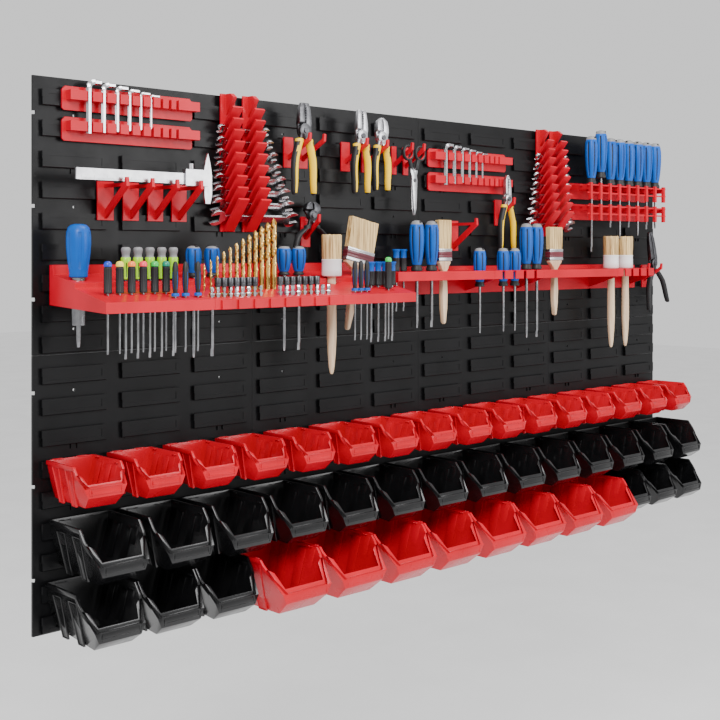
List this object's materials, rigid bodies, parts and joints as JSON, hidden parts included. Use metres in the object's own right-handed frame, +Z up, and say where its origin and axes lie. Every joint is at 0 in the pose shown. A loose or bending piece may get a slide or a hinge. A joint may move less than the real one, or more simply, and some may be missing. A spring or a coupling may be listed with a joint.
{
  "type": "pegboard tool wall",
  "caption": "Wall-mounted rail panel board with hang-on storage bins, tool holders, hooks and shelves, holding drivers, wrenches, hex keys, pliers, brushes and a caliper.",
  "frame": {"origin": "middle of the board's bottom edge, on the wall plane", "axes": "+X along the board to the right as seen from the front, +Y into the wall, +Z up"},
  "size_m": [1.5478, 0.163, 0.7987],
  "materials": {
    "panel": "satin moulded, near-black",
    "red_bin": "semi-gloss moulded red",
    "black_bin": "gloss moulded black",
    "red_holder": "satin moulded red",
    "chrome_tool": "polished chrome-plated steel",
    "caliper_steel": "satin steel",
    "plier_half": "ground steel jaws with a dipped yellow and black grip",
    "pincer_half": "blackened steel with a black grip",
    "scissor_half": "ground blades with a red moulded ring",
    "blue_handle": "satin moulded blue with black soft inlays",
    "driver_shaft": "bright plated round bar",
    "black_handle": "satin black with coloured caps and discs",
    "lime_handle": "lime green with a grey cap",
    "drill_gold": "gold-coloured coated steel",
    "setter_steel": "dark steel sockets on bright shanks",
    "brush_wood": "pale bare wood with a metal ferrule",
    "bristle": "straw-coloured bristles"
  },
  "bodies": {
    "board": {"panel_top_1": "panel", "panel_top_2": "panel", "panel_top_3": "panel", "panel_top_4": "panel", "panel_bottom_1": "panel", "panel_bottom_2": "panel", "panel_bottom_3": "panel", "panel_bottom_4": "panel", "key_holders_left": "red_holder", "key_holders_right": "red_holder", "wrench_racks_left": "red_holder", "wrench_racks_right": "red_holder", "caliper_hooks": "red_holder", "tool_hooks": "red_holder", "pliers_fixed_half": "plier_half", "gripper_fixed_half": "plier_half", "cutter_fixed_half": "plier_half", "pincer_fixed_half": "pincer_half", "scissor_fixed_half": "scissor_half", "long_nose_fixed_half": "plier_half", "nipper_fixed_half": "pincer_half", "shelf_trays": "red_holder", "shelf_rack": "red_holder", "ledge_trays": "red_holder", "ledge_racks": "red_holder", "driver_rack": "red_holder"},
    "small_bins": {"small_bins_left": "red_bin", "small_bins_right": "red_bin"},
    "medium_bins": {"medium_bins_left": "black_bin", "medium_bins_right": "black_bin"},
    "large_bins": {"large_bins_left": "red_bin", "large_bins_right": "red_bin"},
    "low_bins": {"low_bins_left": "black_bin", "low_bins_right": "black_bin"},
    "hex_keys_left": {"hex_keys_left": "chrome_tool"},
    "hex_keys_right": {"hex_keys_right": "chrome_tool"},
    "wrenches_left": {"wrenches_left": "chrome_tool"},
    "wrenches_right": {"wrenches_right": "chrome_tool"},
    "caliper": {"caliper_beam": "caliper_steel"},
    "slider": {"caliper_slider": "caliper_steel"},
    "lock_screw": {"caliper_lock_screw": "caliper_steel"},
    "pliers_arm": {"pliers_moving_half": "plier_half"},
    "gripper_arm": {"gripper_moving_half": "plier_half"},
    "cutter_arm": {"cutter_moving_half": "plier_half"},
    "pincer_arm": {"pincer_moving_half": "pincer_half"},
    "scissor_arm": {"scissor_moving_half": "scissor_half"},
    "long_nose_arm": {"long_nose_moving_half": "plier_half"},
    "nipper_arm": {"nipper_moving_half": "pincer_half"},
    "rack_drivers": {"rack_driver_handles": "blue_handle", "rack_driver_shafts": "driver_shaft"},
    "shelf_drivers": {"shelf_driver_handles": "blue_handle", "shelf_driver_shafts": "driver_shaft"},
    "small_drivers": {"precision_handles": "black_handle", "collar_handles": "black_handle", "lime_handles": "lime_handle", "fine_shafts": "driver_shaft"},
    "drill_bits": {"drill_bits": "drill_gold"},
    "nut_setters": {"nut_setters": "setter_steel"},
    "brushes": {"brush_handles": "brush_wood", "brush_bristles": "bristle"}
  },
  "joints": [
    {"name": "small_bins_lift", "type": "slide", "parent": "board", "child": "small_bins", "axis": [0, 0, 1], "range_m": [0, 0.01]},
    {"name": "medium_bins_lift", "type": "slide", "parent": "board", "child": "medium_bins", "axis": [0, 0, 1], "range_m": [0, 0.01]},
    {"name": "large_bins_lift", "type": "slide", "parent": "board", "child": "large_bins", "axis": [0, 0, 1], "range_m": [0, 0.01]},
    {"name": "low_bins_lift", "type": "slide", "parent": "board", "child": "low_bins", "axis": [0, 0, 1], "range_m": [0, 0.01]},
    {"name": "hex_keys_left_lift", "type": "slide", "parent": "board", "child": "hex_keys_left", "axis": [0, 0, 1], "range_m": [0, 0.012]},
    {"name": "hex_keys_right_lift", "type": "slide", "parent": "board", "child": "hex_keys_right", "axis": [0, 0, 1], "range_m": [0, 0.012]},
    {"name": "wrenches_left_lift", "type": "slide", "parent": "board", "child": "wrenches_left", "axis": [0, -0.6428, 0.766], "range_m": [0, 0.012]},
    {"name": "wrenches_right_lift", "type": "slide", "parent": "board", "child": "wrenches_right", "axis": [0, -0.6428, 0.766], "range_m": [0, 0.012]},
    {"name": "caliper_lift", "type": "slide", "parent": "board", "child": "caliper", "axis": [0, 0, 1], "range_m": [0, 0.012]},
    {"name": "caliper_slide", "type": "slide", "parent": "caliper", "child": "slider", "axis": [-1, 0, 0], "range_m": [0, 0.009]},
    {"name": "lock_screw_turn", "type": "hinge", "parent": "slider", "child": "lock_screw", "pos_m": [-0.5422, -0.06, 0.65197], "axis": [0, 0, 1], "range_deg": [0, 270]},
    {"name": "pliers_hinge", "type": "hinge", "parent": "board", "child": "pliers_arm", "pos_m": [-0.315, -0.052, 0.73063], "axis": [0, 1, 0], "range_deg": [0, 25]},
    {"name": "gripper_hinge", "type": "hinge", "parent": "board", "child": "gripper_arm", "pos_m": [-0.188, -0.052, 0.73063], "axis": [0, 1, 0], "range_deg": [0, 25]},
    {"name": "cutter_hinge", "type": "hinge", "parent": "board", "child": "cutter_arm", "pos_m": [-0.14, -0.052, 0.73063], "axis": [0, -1, 0], "range_deg": [0, 20]},
    {"name": "pincer_hinge", "type": "hinge", "parent": "board", "child": "pincer_arm", "pos_m": [-0.278, -0.029, 0.59463], "axis": [0, -1, 0], "range_deg": [0, 20]},
    {"name": "scissor_hinge", "type": "hinge", "parent": "board", "child": "scissor_arm", "pos_m": [-0.056, -0.048, 0.66121], "axis": [0, -1, 0], "range_deg": [0, 2.5]},
    {"name": "long_nose_hinge", "type": "hinge", "parent": "board", "child": "long_nose_arm", "pos_m": [0.216, -0.035, 0.63697], "axis": [0, 1, 0], "range_deg": [0, 20]},
    {"name": "nipper_hinge", "type": "hinge", "parent": "board", "child": "nipper_arm", "pos_m": [0.716, -0.039, 0.50997], "axis": [0, 1, 0], "range_deg": [0, 12]},
    {"name": "rack_drivers_lift", "type": "slide", "parent": "board", "child": "rack_drivers", "axis": [0, 0, 1], "range_m": [0, 0.012]},
    {"name": "shelf_drivers_lift", "type": "slide", "parent": "board", "child": "shelf_drivers", "axis": [0, 0, 1], "range_m": [0, 0.008]},
    {"name": "small_drivers_lift", "type": "slide", "parent": "board", "child": "small_drivers", "axis": [0, 0, 1], "range_m": [0, 0.012]},
    {"name": "drill_bits_lift", "type": "slide", "parent": "board", "child": "drill_bits", "axis": [0, 0, 1], "range_m": [0, 0.012]},
    {"name": "nut_setters_lift", "type": "slide", "parent": "board", "child": "nut_setters", "axis": [0, 0, 1], "range_m": [0, 0.012]},
    {"name": "brushes_lift", "type": "slide", "parent": "board", "child": "brushes", "axis": [0, 0, 1], "range_m": [0, 0.012]}
  ]
}
